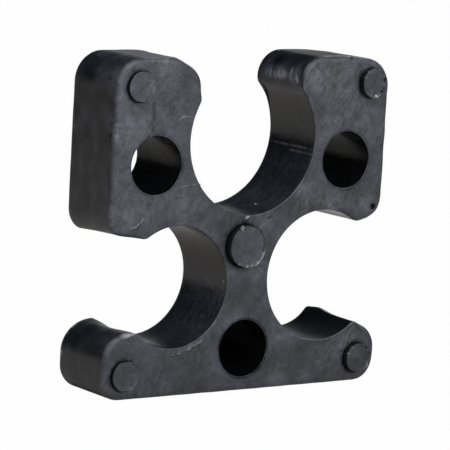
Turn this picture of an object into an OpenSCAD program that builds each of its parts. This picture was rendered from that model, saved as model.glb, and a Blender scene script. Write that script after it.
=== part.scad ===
// Rebar chair: a plate moulded in one piece, standing on its foot bar, with three
// open saddles for reinforcing bars of different diameters and three cross bores.
// It is laid out flat, with x across, y up the chair and z through its thickness,
// and is stood up at the end: the front face then looks along -Y.

/* [Plate] */
// Width over the two upper blocks
chair_w = 55.1; // [53.5:0.1:58]
// Width over the lobes of the foot bar
foot_w = 55.6; // [54:0.1:58]
// Height from the foot to the top of the blocks
chair_h = 55.8; // [55:0.1:60]
// Thickness between the front and the rear face
plate_t = 13.4; // [8:0.1:25]
// Rounding of the front edges
front_round = 0.9; // [0.4:0.1:1.2]
// Rounding of the rear edges
rear_round = 1.2; // [0.4:0.1:1.3]

/* [Top saddle] */
// Concrete cover from the foot to the top bar
top_cover = 29.6; // [29:0.1:31]
// Diameter of the top saddle
top_d = 25; // [24:0.1:25.6]
// Sideways place of the top saddle
top_x = -0.15; // [-0.5:0.05:0.5]
// Width of the mouth between the blocks
mouth_w = 20.1; // [18:0.1:22]
// Sideways place of the middle of the mouth
mouth_x = -0.8; // [-1:0.05:1]

/* [Left saddle] */
// Cover from the right side face to the left bar
left_cover = 31.6; // [31:0.1:33]
// Diameter of the left saddle
left_d = 20.2; // [18:0.1:20.6]
// Height of the middle of the left saddle above the foot
left_z = 18.2; // [18:0.1:18.8]
// Lowest point of the left block above the middle of the left saddle
left_lip = 7.1; // [6.4:0.1:7.8]
// Rise of the left block's underside from there to its outer corner
left_rise = 1.6; // [0:0.1:2]
// Height of the left lobe of the foot bar
left_lobe_h = 11.1; // [10.8:0.1:11.6]

/* [Right saddle] */
// Cover from the left side face to the right bar
right_cover = 31.8; // [31:0.1:33]
// Diameter of the right saddle
right_d = 22.2; // [20:0.1:22.8]
// Height of the middle of the right saddle above the foot
right_z = 18.8; // [18.4:0.1:19.2]
// Underside of the right block above the middle of the right saddle
right_lip = 8.9; // [8.2:0.1:9.4]
// Height of the right lobe of the foot bar at its crest
right_lobe_h = 11.2; // [10.6:0.1:11.6]
// Fall of the right lobe from its crest to its outer corner
right_lobe_fall = 1.4; // [0:0.1:1.6]
// Width of the falling top of the right lobe
right_lobe_slope = 2.8; // [1:0.1:3]

/* [Tops of the blocks] */
// Fall of the left block's top towards the mouth
left_fall = 1.1; // [0:0.1:1.5]
// Width of the falling part of the left block's top
left_slope = 5.8; // [4:0.1:9]
// Fall of the right block's top towards its side
right_fall = 0.4; // [0:0.1:1]
// Width of the falling part of the right block's top
right_slope = 9; // [6:0.1:14]

/* [Corners] */
// Outer top corners of the blocks
top_corner = 5; // [3:0.1:6]
// Block corners beside the mouth
mouth_corner = 4; // [3:0.1:5]
// Lower outer corner of the left block
left_low_corner = 3; // [2.6:0.1:5]
// Lower outer corner of the right block
right_low_corner = 4.5; // [2.6:0.1:5]
// Crests where a surface turns or a saddle breaks out
crest_corner = 2.6; // [2.6:0.1:3]
// Lower corners of the foot bar
foot_corner = 3.9; // [3:0.1:5]
// Upper corner of the left lobe
left_lobe_corner = 4.9; // [3:0.1:5]
// Upper corner of the right lobe
right_lobe_corner = 4; // [3:0.1:5]

/* [Bores] */
// Diameter of the three cross bores
bore_d = 9.6; // [8:0.1:10.5]
// Upper bores, from the side of the top saddle
bore_web = 1.8; // [1.2:0.1:2.2]
// Upper bores, up from the underside of the right block
bore_lift = 10.6; // [9:0.1:12]
// Foot bore, up from the foot
bore_up = 7.2; // [6.8:0.1:7.6]

/* [Ejector pads] */
// Diameter of the four corner pads
pad_d = 5; // [3:0.1:5.6]
// Height of the two left pads
left_pad_h = 0.7; // [0.4:0.1:1.4]
// Height of the two right pads
right_pad_h = 1.1; // [0.4:0.1:1.4]
// Corner pads, in from the side face
pad_in = 4.3; // [3.8:0.1:5]
// Upper pads, down from the top
pad_down = 4.8; // [4.4:0.1:6]
// Lower pads, up from the foot
pad_up = 4.1; // [3.8:0.1:5]
// Diameter of the gate pad at the centre
gate_d = 7.4; // [6:0.1:8]
// Height of the gate pad
gate_h = 1.4; // [1.4:0.1:2]
// Sideways place of the gate pad
gate_x = -1; // [-1.4:0.1:0]
// Gate pad, down from the floor of the top saddle
gate_down = 4.9; // [4.5:0.1:5.6]

/* [Moulding pit] */
// Diameter of the small pit in the right block
pit_d = 0.9; // [0.4:0.1:1.4]
// Depth of the pit
pit_deep = 0.8; // [0.3:0.1:1.5]
// Pit, in from the right side face
pit_in = 2.1; // [1.8:0.1:3]
// Pit, up from the underside of the right block
pit_up = 2.2; // [1.8:0.1:3]

/* [Hidden] */
$fn = 96;
small_fn = 32;
eps = 0.5;
// Radial easing of a saddle's rear edge, as a part of the rear rounding
saddle_ease = 0.7;
// Overlap of the hub with the blocks beside it
hub_reach = 3;

half_w = chair_w / 2;
half_foot = foot_w / 2;

// Saddle centres, from the covers that the saddles have to give
top_c = [top_x, top_cover + top_d / 2];
left_c = [half_w - left_cover - left_d / 2, left_z];
right_c = [right_cover - half_w + right_d / 2, right_z];

// The two walls of the mouth, and the undersides of the two blocks
mouth_l = mouth_x - mouth_w / 2;
mouth_r = mouth_x + mouth_w / 2;
left_block_z = left_z + left_lip;
right_block_z = right_z + right_lip;

// Upper bores: beside the top saddle, above the blocks' undersides
bore_x = top_d / 2 + bore_web + bore_d / 2;
bore_z = right_block_z + bore_lift;

// Block and foot bar corners: [x, y, radius] of each corner's centre
left_block = [
    [top_corner - half_w, chair_h - top_corner, top_corner],
    [mouth_l - left_slope, chair_h - crest_corner, crest_corner],
    [mouth_l - mouth_corner, chair_h - left_fall - mouth_corner, mouth_corner],
    [left_low_corner - half_w, left_block_z + left_rise + left_low_corner, left_low_corner],
    [mouth_l - crest_corner, left_block_z + crest_corner, crest_corner],
];
right_block = [
    [half_w - top_corner, chair_h - right_fall - top_corner, top_corner],
    [half_w - right_slope, chair_h - crest_corner, crest_corner],
    [mouth_r + mouth_corner, chair_h - mouth_corner, mouth_corner],
    [half_w - right_low_corner, right_block_z + right_low_corner, right_low_corner],
    [mouth_r + crest_corner, right_block_z + crest_corner, crest_corner],
];
right_lobe_x = half_foot - right_lobe_corner;
foot_bar = [
    [foot_corner - half_foot, foot_corner, foot_corner],
    [left_lobe_corner - half_foot, left_lobe_h - left_lobe_corner, left_lobe_corner],
    [half_foot - foot_corner, foot_corner, foot_corner],
    [right_lobe_x, right_lobe_h - right_lobe_fall - right_lobe_corner, right_lobe_corner],
    [right_lobe_x - right_lobe_slope, right_lobe_h - crest_corner, crest_corner],
];

// Depth over the plate and its tallest pad
depth = plate_t + max(gate_h, left_pad_h, right_pad_h);

// One corner of a slab: its outer edge rounded at the rear and at the front
module corner(c) {
    translate([c[0], c[1], 0])
        rotate_extrude($fn = small_fn) {
            translate([c[2] - rear_round, rear_round])
                circle(r = rear_round);
            translate([c[2] - front_round, plate_t - front_round])
                circle(r = front_round);
        }
}

// A convex slab through the listed corners, with its edges rounded
module slab(corners) {
    hull()
        for (c = corners)
            corner(c);
}

// The hub between the saddles, whose own edges are all cut by them
module hub() {
    translate([mouth_l - hub_reach, foot_corner, 0])
        cube([mouth_w + 2 * hub_reach, top_c[1] - foot_corner, plate_t]);
}

// A round opening right through the plate, eased at its rear edge
module saddle(c, d) {
    translate([c[0], c[1], -eps])
        cylinder(d = d, h = plate_t + 2 * eps);
    translate([c[0], c[1], -eps])
        cylinder(d1 = d + 2 * (rear_round + eps) * saddle_ease, d2 = d, h = rear_round + eps);
}

// A plain bore right through the plate
module bore(x, y) {
    translate([x, y, -eps])
        cylinder(d = bore_d, h = plate_t + 2 * eps);
}

// A round pad standing on the front face
module pad(x, y, d, h) {
    translate([x, y, plate_t - eps])
        cylinder(d = d, h = h + eps);
}

// The four corner pads and the gate pad
module pads() {
    for (side = [-1, 1]) {
        h = side < 0 ? left_pad_h : right_pad_h;
        pad(side * (half_w - pad_in), chair_h - pad_down, pad_d, h);
        pad(side * (half_w - pad_in), pad_up, pad_d, h);
    }
    pad(gate_x, top_cover - gate_down, gate_d, gate_h);
}

// A small pit left by the moulding in the front face
module pit() {
    translate([half_w - pit_in, right_block_z + pit_up, plate_t - pit_deep])
        cylinder(d = pit_d, h = pit_deep + eps, $fn = small_fn);
}

// The whole chair, lying on its rear face
module plate() {
    difference() {
        union() {
            slab(left_block);
            slab(right_block);
            slab(foot_bar);
            hub();
            pads();
        }
        saddle(top_c, top_d);
        saddle(left_c, left_d);
        saddle(right_c, right_d);
        for (side = [-1, 1])
            bore(side * bore_x, bore_z);
        bore(0, bore_up);
        pit();
    }
}

module chair() {
    color([0.07, 0.07, 0.08])
        translate([0, depth / 2, 0])
            rotate([90, 0, 0])
                plate();
}

chair();
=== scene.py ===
"""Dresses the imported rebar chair: a moulded plate with three bar saddles, its ejector
pads, gate pad and moulding flash in recycled black plastic, on a pale studio floor."""

import math

import bpy
import numpy as np
from mathutils import Matrix, Vector
from mathutils.geometry import delaunay_2d_cdt


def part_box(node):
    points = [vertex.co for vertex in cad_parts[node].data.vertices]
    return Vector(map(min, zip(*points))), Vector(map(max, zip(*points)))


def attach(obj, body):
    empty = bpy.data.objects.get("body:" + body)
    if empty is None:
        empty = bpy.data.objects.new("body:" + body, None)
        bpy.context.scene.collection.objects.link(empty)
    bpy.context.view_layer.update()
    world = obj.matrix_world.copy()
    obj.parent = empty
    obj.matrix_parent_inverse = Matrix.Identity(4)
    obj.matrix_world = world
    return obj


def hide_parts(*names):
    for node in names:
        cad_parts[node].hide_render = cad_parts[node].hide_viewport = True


bl_info = {
    "name": "Rebar chair",
    "version": (1, 0, 0),
    "blender": (4, 5, 0),
    "location": "View3D > Sidebar > Rebar chair",
    "description": "Builds the moulded rebar chair over its CAD solid, and a small studio",
    "category": "Add Mesh",
}

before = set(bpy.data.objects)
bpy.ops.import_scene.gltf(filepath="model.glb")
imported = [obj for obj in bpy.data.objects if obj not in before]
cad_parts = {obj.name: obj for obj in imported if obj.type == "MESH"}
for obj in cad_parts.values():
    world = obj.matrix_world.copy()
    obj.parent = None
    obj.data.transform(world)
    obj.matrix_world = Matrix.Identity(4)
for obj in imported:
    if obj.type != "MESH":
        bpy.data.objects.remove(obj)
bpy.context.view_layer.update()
CAD_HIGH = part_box("chair")[1]
MM = 0.001
REAR_Y, TOP_Z = CAD_HIGH.y / MM, CAD_HIGH.z / MM
ROOM_BEFORE_FRONT = 1.4  # the CAD box's depth before the front face, in mm
BODY = "root"


# ---------------------------------------------------------------- sizes and colours

def length_mm(name, description, default, low=0.0, high=100.0):
    """A length property in mm."""
    return bpy.props.FloatProperty(
        name=name, description=description, default=default, min=low, max=high,
        unit="NONE", subtype="NONE", precision=2)


def colour_rgb(name, description, default):
    """A colour property."""
    return bpy.props.FloatVectorProperty(
        name=name, description=description, subtype="COLOR", size=3, min=0.0, max=1.0,
        default=default)


def angle_deg(name, description, degrees):
    """An angle property, whose default is given in degrees."""
    return bpy.props.FloatProperty(
        name=name, description=description, default=math.radians(degrees), subtype="ANGLE")


class RebarPlateSettings(bpy.types.PropertyGroup):
    """Sizes of the plate, its saddles and its bores"""
    width: length_mm("Block width", "Width over the two upper blocks, in mm", 55.1)
    foot_width: length_mm("Foot width", "Width over the foot bar's lobes, in mm", 55.6)
    thickness: length_mm("Thickness", "Front face to rear face, in mm", 13.4)
    front_round: length_mm(
        "Front rounding", "Rounding of the outer front edges, in mm", 0.95, 0.1, 1.2)
    rear_round: length_mm(
        "Rear rounding", "Rounding of the outer rear edges, in mm", 1.15, 0.1, 1.3)
    lip_round: length_mm(
        "Saddle lip", "Rounding of the saddles' front edges, in mm", 0.22, 0.05, 1.0)
    saddle_ease: length_mm(
        "Saddle rear easing", "Rounding of the saddles' rear edges, in mm", 0.85, 0.05, 1.2)
    top_saddle: length_mm("Top saddle", "Diameter of the top saddle, in mm", 25.0)
    left_saddle: length_mm("Left saddle", "Diameter of the left saddle, in mm", 20.2)
    right_saddle: length_mm("Right saddle", "Diameter of the right saddle, in mm", 22.2)
    bore: length_mm("Bore", "Diameter of the three cross bores, in mm", 9.6)
    wave: length_mm(
        "Waviness", "Depth of the sink waves in the outer walls, in mm", 0.03, 0.0, 0.2)


class RebarPadSettings(bpy.types.PropertyGroup):
    """Sizes of the pads on the front face"""
    corner: length_mm("Corner pad", "Diameter of the four corner pads, in mm", 5.0)
    left_height: length_mm("Left pads", "Height of the two left pads, in mm", 0.7)
    right_height: length_mm("Right pads", "Height of the two right pads, in mm", 1.1)
    gate: length_mm("Gate pad", "Diameter of the gate pad, in mm", 7.1)
    gate_height: length_mm("Gate height", "Height of the gate pad, in mm", 1.4)


class RebarFinishSettings(bpy.types.PropertyGroup):
    """Colours of the plastic and of what lies on it. Bloom also carries painted light and shade
    on the faces, haze painted sheen on the walls, scuff painted glints, torn two painted glint
    dots
    """
    plastic: colour_rgb("Plastic", "Base colour of the black plastic", (0.0028, 0.0029, 0.0036))
    bloom: colour_rgb("Bloom", "Colour of the chalky patches on the faces", (0.110, 0.112, 0.138))
    haze: colour_rgb("Haze", "Bluish colour of the smears on the walls", (0.094, 0.100, 0.133))
    # torn also colours two pale dots on the right block's top that are painted glints
    torn: colour_rgb("Torn", "Colour of torn, stress-whitened crumbs", (0.60, 0.61, 0.64))
    scuff: colour_rgb("Scuff", "Pale colour of scratches and torn flash", (0.30, 0.30, 0.31))


class RebarStudioSettings(bpy.types.PropertyGroup):
    """Camera and floor"""
    azimuth: angle_deg(
        "Azimuth", "Camera's turn round the chair, from straight in front", -35.337)
    elevation: angle_deg("Elevation", "Camera's angle above the floor", 8.347)
    roll: angle_deg("Roll", "Camera's roll", 3.184)
    distance: bpy.props.FloatProperty(
        name="Distance", description="Camera to chair", default=0.4614, unit="LENGTH")
    lens: bpy.props.FloatProperty(
        name="Lens", description="Focal length on a 36 mm sensor, in mm", default=225.15)
    backdrop: colour_rgb("Backdrop", "Colour of the floor", (0.70, 0.66, 0.62))


# ---------------------------------------------------------------- marks of this casting, and its painted light and shade
# Soft spots, for spots(): x, z, reach across, reach up (all in mm) and strength, which takes
# away where it is below 0.

# Paler and darker spots on the front face: bloom of this casting and painted light and shade,
# brighter on the left block, darker on the foot, painted shade in the nicks and a painted shadow
# crescent above and left of the upper right pad
FACE_BLOOM_AND_PAINTED_LIGHT = (
    (-23.5, 44, 3.5, 5, 0.31), (-26, 49, 2, 4, 0.15), (-21, 34, 5, 2, 0.06), (-20, 31, 6, 3, 0.14),
    (-23, 54, 5, 1.2, 0.14), (-15, 48, 3, 4, -0.07), (-10, 33, 4, 3, 0.06), (20, 46, 4, 5, -0.03),
    (22.3, 54.2, 1.8, 0.8, -0.22), (20.8, 53.0, 0.7, 1.4, -0.14), (18.6, 53.9, 1.6, 1.2, 0.12),
    (-20, 42, 8, 12, 0.08), (19.1, 55.4, 0.45, 0.7, -0.5), (12, 52, 2, 3, 0.08),
    (19, 30, 5, 2.2, -0.21), (12, 33, 3, 2, 0.10), (-3, 29, 4, 2, -0.14), (4, 30, 3, 2, 0.05),
    (0, 17, 4, 4, 0.04), (-22, 9.5, 4, 1.2, 0.14), (-14, 3, 8, 2, -0.08), (12, 4, 9, 3, -0.05),
    (25, 33, 2, 4, -0.1), (-26, 44, 1, 2, -0.2))
FACE_SWIRLS = (
    (18, 30, 5, 2.5, 1.0), (-24, 30, 3, 3, 0.9), (-3, 30, 4, 2, 0.7), (-26, 44, 1.5, 6, 0.8))
FACE_SCRATCHES = (
    (16, 52, 5, 3.5, 0.16), (20, 44, 6, 5, 0.10), (17, 31, 7, 2.5, 0.14), (24, 8, 4, 4, 0.12),
    (18, 5, 5, 3, 0.07), (-22, 31, 5, 3, 0.05), (0, 30, 5, 2, 0.05))
REAR_SWELLINGS = (
    (-15.6, 55.2, 3.0, 3.0, 0.75), (-24.9, 27.2, 2.2, 1.8, 0.60), (-21.6, 27.0, 1.5, 1.5, -0.25),
    (-11.8, 53.0, 1.6, 2.4, -0.20), (23.0, 11.0, 2.6, 1.5, 0.35), (-21.5, 11.0, 1.8, 1.6, 0.22))
CREST_BUMP = ((23.3, 10.4, 1.2, 1.5, 0.42),)
CREST_SAG = ((-21.0, 10.8, 1.5, 1.5, 0.50),)
FRONT_NICKS = (
    (-27.4, 45.4, 0.7, 0.4, 0.42), (-27.4, 43.5, 0.6, 0.35, 0.38), (-27.3, 36.0, 0.6, 1.1, 0.06),
    (19.1, 55.5, 0.35, 0.6, 0.22), (15.2, 55.7, 0.9, 0.6, 0.06), (-26.4, 28.2, 0.8, 0.7, 0.1),
    (-20.5, 11.0, 0.7, 0.6, 0.10), (-25.8, 9.4, 0.6, 0.6, 0.08), (27.1, 49.2, 0.6, 0.6, 0.08))
# Pale lines along the front edges' rounding: wear and painted highlight
FRONT_EDGE_WEAR_AND_HIGHLIGHT = (
    (-26.5, 52, 4, 4, 1.1), (-27.5, 43, 2, 4, 0.8), (-27.5, 33, 2, 5, 0.5), (-25.5, 28, 3, 2, 0.4),
    (-23, 11, 4, 2, 2.4), (-17, 10, 3, 2, 0.2), (-27, 6, 2, 3.5, 1.3), (-22, 55.7, 5, 1.5, 0.6),
    (-14, 55, 4, 1.5, 0.3), (9.7, 51, 2, 3, 0.5), (20, 55.5, 7, 1.5, 0.3), (24, 10, 4, 2, 0.4))
# Painted glints along the rear edges
REAR_EDGE_GLINTS = (
    (12.6, 55.2, 0.8, 1.0, 1.2), (14.4, 55.4, 0.5, 1.0, 1.0), (16.8, 55.4, 1.6, 1.0, 0.5),
    (-27.3, 8.0, 1.4, 2.6, 1.8), (-25.0, 10.2, 1.4, 0.9, 0.5), (9.3, 51.5, 1.5, 2.5, 0.6))
# Bluish smears on the walls with painted sheen in them: by the front edge, and all through the
# depth
SMEARS_AND_SHEEN_BY_FRONT = (
    (-26.4, 52.4, 2.2, 2.0, 0.85), (-22, 55.8, 3, 2, 0.25), (-16.5, 55.2, 3, 1.5, 0.5),
    (-27.5, 30, 2, 4, 0.2), (-25.5, 9.5, 2.5, 1.8, 0.3), (11.5, 37.5, 2.5, 3.5, 0.15))
SMEARS_AND_SHEEN_RIGHT_THROUGH = (
    (5, 32, 8, 3.2, 0.36), (-8.5, 11.5, 5, 3.6, 0.36), (-4.5, 16, 2, 3, 0.36),
    (11.5, 37, 2, 3, 0.16), (8, 52, 4, 4, 0.06), (-20, 55.6, 6, 1.2, 0.25))
# Pale streaks on the lobe by the top saddle's mouth: scuffs with a painted highlight
MOUTH_SCUFF_HIGHLIGHTS = (  # depth from the front face in place of x
    (1.8, 52.2, 0.3, 1.5, 1.9), (2.7, 52.2, 0.3, 1.3, 2.0), (3.9, 52.3, 0.6, 1.2, 1.6),
    (6.2, 52.2, 1.7, 1.1, 1.3), (9.5, 52.1, 2.4, 1.1, 1.1))
# Painted sheen on the tops of the right and left blocks
RIGHT_CROWN_SHEEN = ((20.8, 55.5, 2, 9, 0.8),)
LEFT_CROWN_SHEEN = ((-17, 55.6, 4.5, 1.0, 0.9),)
DULLER_WALLS = ((-8, 18, 7, 9, 0.45), (-3, 30, 4, 1.5, 1.8))
TIGHT_ROUNDING = ((26.5, 29.3, 1.6, 1.6, 0.42),)
LONG_REAR_EASING = ((9.8, 49.6, 2.2, 3.4, 1.7),)
CROWN_Z = 54.6  # the blocks' tops start here, in mm
# wear and painted highlight on the front edges; painted glints on the rear edges
FRONT_WEAR_AND_HIGHLIGHT, REAR_GLINT = 0.42, 1.5  # how pale the worn front and rear edges get

# Scratches along the top saddle's wall: z, reach, strength and how deep they run
SADDLE_SCRATCHES = ((40.15, 0.13, 1.0, 13.4), (39.35, 0.14, 0.8, 6.5))
# Painted glints on the right block's top: x, reach and strength
CROWN_GLINTS = ((16.7, 0.7, 1.0), (18.4, 0.45, 0.6))
# Small pits: x, z, radius, raggedness, depth and seed
PITS = ((25.5, 30.12, 0.50, 0.03, 0.8, 13), (3.95, 29.0, 0.17, 0.05, 0.3, 14))
# Torn crumbs: x, place behind the front face, z, size and seed. The two at z 55.62, on the
# right block's top, are pale dots as painted glints
CRUMBS_AND_GLINT_DOTS = (
    (23.8, -1.10, 49.15, 0.15, 1), (24.3, -1.10, 49.6, 0.10, 2), (24.1, -1.08, 49.3, 0.10, 3),
    (-0.78, 0.0, 29.1, 0.22, 4), (-0.5, 0.0, 29.35, 0.18, 5), (-2.15, -1.0, 27.95, 0.13, 6),
    (-4.02, 0.8, 18.5, 0.12, 8), (20.4, 0.0, 48.9, 0.06, 9), (21.4, 0.0, 4.2, 0.06, 10),
    (25.5, 0.0, 5.1, 0.05, 11), (4.6, 5.1, 30.5, 0.17, 12), (12.4, 11.6, 55.62, 0.12, 13),
    (13.6, 11.8, 55.62, 0.09, 14), (-5.6, 9.5, 12.7, 0.07, 15))
# Fine marks on the front face: points of the path, width, height, seed and paleness
HAIRLINES = (
    (((-15.6, 45.0), (-14.9, 45.85), (-13.9, 46.1), (-12.2, 46.05)), 0.42, 0.04, 1, 0.6),
    (((-15.6, 34.4), (-12.8, 34.9), (-10.3, 35.0)), 0.34, 0.04, 2, 0.55),
    (((-23.7, 28.3), (-22.9, 28.35), (-21.9, 28.9), (-20.8, 29.9)), 0.75, 0.05, 3, 0.75),
    (((18.7, 32.9), (18.85, 31.2), (18.95, 29.6)), 0.30, 0.03, 4, 0.35),
    (((-20.25, 48.5), (-20.2, 46.0), (-20.15, 43.4)), 0.9, 0.018, 5, 0.0))
# Middle of the lap of skin below the left saddle: x and z
LAP_PATH = ((-14.9, 7.0), (-12.6, 7.45), (-10.7, 8.2), (-9.1, 9.1), (-7.6, 10.2))
# What pad_surface() is told of each pad; bloom paints a highlight on one side of the top
PAD_LOOKS = {
    "upper_left": dict(ragged=0.05, bloom=(-0.4, 0.75), tone=-0.02),
    "lower_left": dict(ragged=0.05, burr=0.03, torn=(-0.7, 0.5), bloom=(-0.9, 0.14)),
    "upper_right": dict(
        ragged=0.09, burr=0.10, torn=(-1.4, 0.4), bloom=(-0.3, 0.07),
        chips=((0.24, 0.16, 1.0), (-0.42, 0.10, 0.8), (-0.75, 0.13, 1.0), (-0.60, 0.45, 0.2),
               (1.05, 0.35, 0.0)),
        flecks_and_glints=((-1.3, 0.10, 1.0), (-1.02, 0.07, 0.9), (-1.6, 0.06, 0.6), (1.2, 0.05, 0.5),
                (-0.25, 0.05, 0.4), (2.2, 0.05, 0.5), (2.7, 0.04, 0.5))),
    "lower_right": dict(
        ragged=0.06, burr=0.03, torn=(-0.6, 0.4), tone=-0.10, chips=((0.5, 0.4, 0.0),),
        flecks_and_glints=((2.75, 0.05, 0.7), (0.55, 0.05, 0.5), (-0.55, 0.22, 0.4), (2.2, 0.04, 0.4))),
    "gate": dict(
        ragged=0.05, burr=0.05, torn=(-0.95, 0.7), tone=0.04,
        chips=((0.35, 0.7, 0.0), (1.25, 0.3, 0.0), (2.05, 0.06, 0.6)),
        flecks_and_glints=((1.99, 0.06, 1.0), (-0.42, 0.07, 0.9), (-0.62, 0.04, 0.7), (-0.95, 0.12, 1.0),
                (-1.3, 0.06, 0.8), (-1.6, 0.08, 0.9), (-2.1, 0.04, 0.7))),
}


# ---------------------------------------------------------------- shapes in the plane

def disc_hull(discs, count=1440):
    """Convex outline round some discs (x, z, radius): in every direction, the point of
    the disc that reaches furthest that way. Runs counter-clockwise."""
    angle = np.linspace(0, 2 * np.pi, count, endpoint=False)
    way = np.stack([np.cos(angle), np.sin(angle)], 1)
    discs = np.asarray(discs, float)
    best = np.argmax(discs[:, :2] @ way.T + discs[:, 2:], axis=0)
    return discs[best, :2] + discs[best, 2:] * way


def run_along(points):
    """Distance of each point from the first, along the line through them."""
    return np.r_[0, np.cumsum(np.hypot(*np.diff(points, axis=0).T))]


def resample(loop, step):
    """Points at equal distances along a closed loop, by linear interpolation of its length."""
    closed = np.vstack([loop, loop[:1]])
    run = run_along(closed)
    at = np.linspace(0, run[-1], max(4, int(round(run[-1] / step))), endpoint=False)
    return np.stack([np.interp(at, run, closed[:, 0]), np.interp(at, run, closed[:, 1])], 1)


def outside_run(loop, discs, near):
    """The stretch of a closed loop that stays outside the discs and passes near a point."""
    loop = resample(loop, 0.02)
    gap = np.min([np.hypot(*(loop - d[:2]).T) - d[2] for d in discs], axis=0)
    start = np.argmin(np.hypot(*(loop - near).T))
    loop, clear = np.roll(loop, -start, 0), np.roll(gap >= 0, -start)
    ahead, behind = np.argmin(clear), np.argmin(clear[::-1])
    return np.vstack([loop[len(loop) - behind:], loop[:ahead]])


def saddle_arc(disc, start, end, step=0.05):
    """Clockwise arc of a disc's edge from the point beside start to the point beside end."""
    a0 = math.atan2(start[1] - disc[1], start[0] - disc[0])
    a1 = math.atan2(end[1] - disc[1], end[0] - disc[0])
    turn = (a0 - a1) % (2 * math.pi)
    angle = a0 - np.linspace(0, turn, int(turn * disc[2] / step))[1:-1]
    return np.stack([disc[0] + disc[2] * np.cos(angle), disc[1] + disc[2] * np.sin(angle)], 1)


def ring_blur(values, sigma):
    """Gaussian blur along a closed run of equally spaced values; sigma is in samples."""
    wave = np.fft.fftfreq(len(values))
    fade = np.exp(-2 * (np.pi * wave * sigma) ** 2)
    fade = fade.reshape(-1, *[1] * (values.ndim - 1))
    return np.fft.ifft(np.fft.fft(values, axis=0) * fade, axis=0).real


def outward(loop):
    """Unit normals of a counter-clockwise closed loop, pointing away from the solid."""
    along = np.roll(loop, -1, 0) - np.roll(loop, 1, 0)
    along /= np.maximum(np.hypot(*along.T), 1e-9)[:, None]
    return np.stack([along[:, 1], -along[:, 0]], 1)


def inside(points, loop):
    """True for points inside a closed loop: an odd number of its edges cross the ray to +x."""
    ax, az = loop.T
    bx, bz = np.roll(loop, -1, 0).T
    rise = np.where(bz == az, 1e-12, bz - az)

    def odd(block):
        """True where an odd number of edges cross."""
        px, pz = block[:, :1], block[:, 1:]
        crosses = (az > pz) != (bz > pz)
        return (crosses & (px < ax + (pz - az) * (bx - ax) / rise)).sum(1) % 2 == 1

    blocks = np.array_split(points, 1 + len(points) // 1500)
    return np.concatenate([odd(block) for block in blocks])


def cloud(x, z, size, seed, waves=28, tall=1.0, lean=0.0):
    """A smooth random field of unit spread with blobs about size wide and tall times as
    high, leaning by an angle: a sum of plane waves with seeded directions and phases."""
    rng = np.random.default_rng(seed)
    way = rng.uniform(0, 2 * np.pi, waves)
    k = 2 * np.pi / (2 * size) * rng.uniform(0.6, 1.6, waves)
    u = x * math.cos(lean) + z * math.sin(lean)
    v = (z * math.cos(lean) - x * math.sin(lean)) / tall
    phase = rng.uniform(0, 2 * np.pi, waves)
    u, v = np.asarray(u)[..., None], np.asarray(v)[..., None]
    planes = np.cos(k * (np.cos(way) * u + np.sin(way) * v) + phase)
    return planes.sum(-1) * math.sqrt(2 / waves)


def hump(value, centre, reach):
    """A soft bump, 1 at its centre: exp(-((value - centre) / reach)^2)."""
    return np.exp(-((value - centre) / reach) ** 2)


def plateau(value, centre, reach):
    """A bump with a flatter top and steeper ends: exp(-((value - centre) / reach)^4)."""
    return np.exp(-((value - centre) / reach) ** 4)


def smooth_noise(angle, seed, waves=7):
    """A gentle closed curve of random waves round a circle, between about -1 and 1."""
    rng = np.random.default_rng(seed)
    k = np.arange(2, 2 + waves)
    ripples = np.cos(angle[:, None] * k + rng.uniform(0, 6.28, waves))
    return (ripples * rng.uniform(0.3, 1, waves)).sum(1) / 2.5


def spots(x, z, places):
    """Sum of soft round spots, each strength * exp(-((x - cx) / rx)^2 - ((z - cz) / rz)^2)."""
    total = 0.0 * x
    for cx, cz, rx, rz, strength in places:
        total = total + strength * np.exp(-((x - cx) / rx) ** 2 - ((z - cz) / rz) ** 2)
    return total


# ---------------------------------------------------------------- mesh helpers

def make_piece(name, verts, faces, marks=None):
    """A smooth-shaded mesh object at the origin, from vertices in mm and faces, with its
    marks: named values per vertex that the finishes read."""
    mesh = bpy.data.meshes.new(name)
    mesh.from_pydata((np.asarray(verts) * MM).tolist(), [], faces)
    mesh.update()
    mesh.polygons.foreach_set("use_smooth", np.ones(len(faces), bool))
    for key, values in (marks or {}).items():
        layer = mesh.attributes.new(key, "FLOAT", "POINT")
        layer.data.foreach_set("value", np.asarray(values, np.float32))
    piece = bpy.data.objects.new(name, mesh)
    bpy.context.scene.collection.objects.link(piece)
    return piece


def front_y():
    """Where the front face lies on Y, in mm: one thickness before the CAD's rear face."""
    return REAR_Y - bpy.context.scene.rebar_plate.thickness


def on_front(place, up):
    """Vertices in mm from places (x, z) in the plane and their height over the front face."""
    return np.stack([place[..., 0], front_y() - up, place[..., 1]], -1).reshape(-1, 3)


def join_surfaces(surfaces):
    """Several surfaces as one: their vertices one after another, faces counted on. A surface
    is its vertices, its faces and, if it has any, its marks per vertex."""
    verts, faces, marks, start = [], [], {}, 0
    for surface in surfaces:
        verts.append(surface[0])
        faces += [[k + start for k in face] for face in surface[1]]
        for key, values in (surface[2] if len(surface) > 2 else {}).items():
            marks.setdefault(key, []).append(values)
        start += len(surface[0])
    return np.vstack(verts), faces, {key: np.concatenate(v) for key, v in marks.items()}


def band_faces(rings, count, first=0, flip=False):
    """Quads between neighbouring closed rings of count points each, ring after ring."""
    r = np.arange(rings - 1)[:, None] * count + first
    i = np.arange(count)[None, :]
    j = (i + 1) % count
    quads = np.stack([r + i, r + j, r + count + j, r + count + i], -1).reshape(-1, 4)
    return (quads[:, ::-1] if flip else quads).tolist()


def dress(piece, *materials):
    """Gives a piece its materials, and lets it ride on the body."""
    for material in materials:
        piece.data.materials.append(material)
    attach(piece, BODY)


# ---------------------------------------------------------------- the plate

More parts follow.
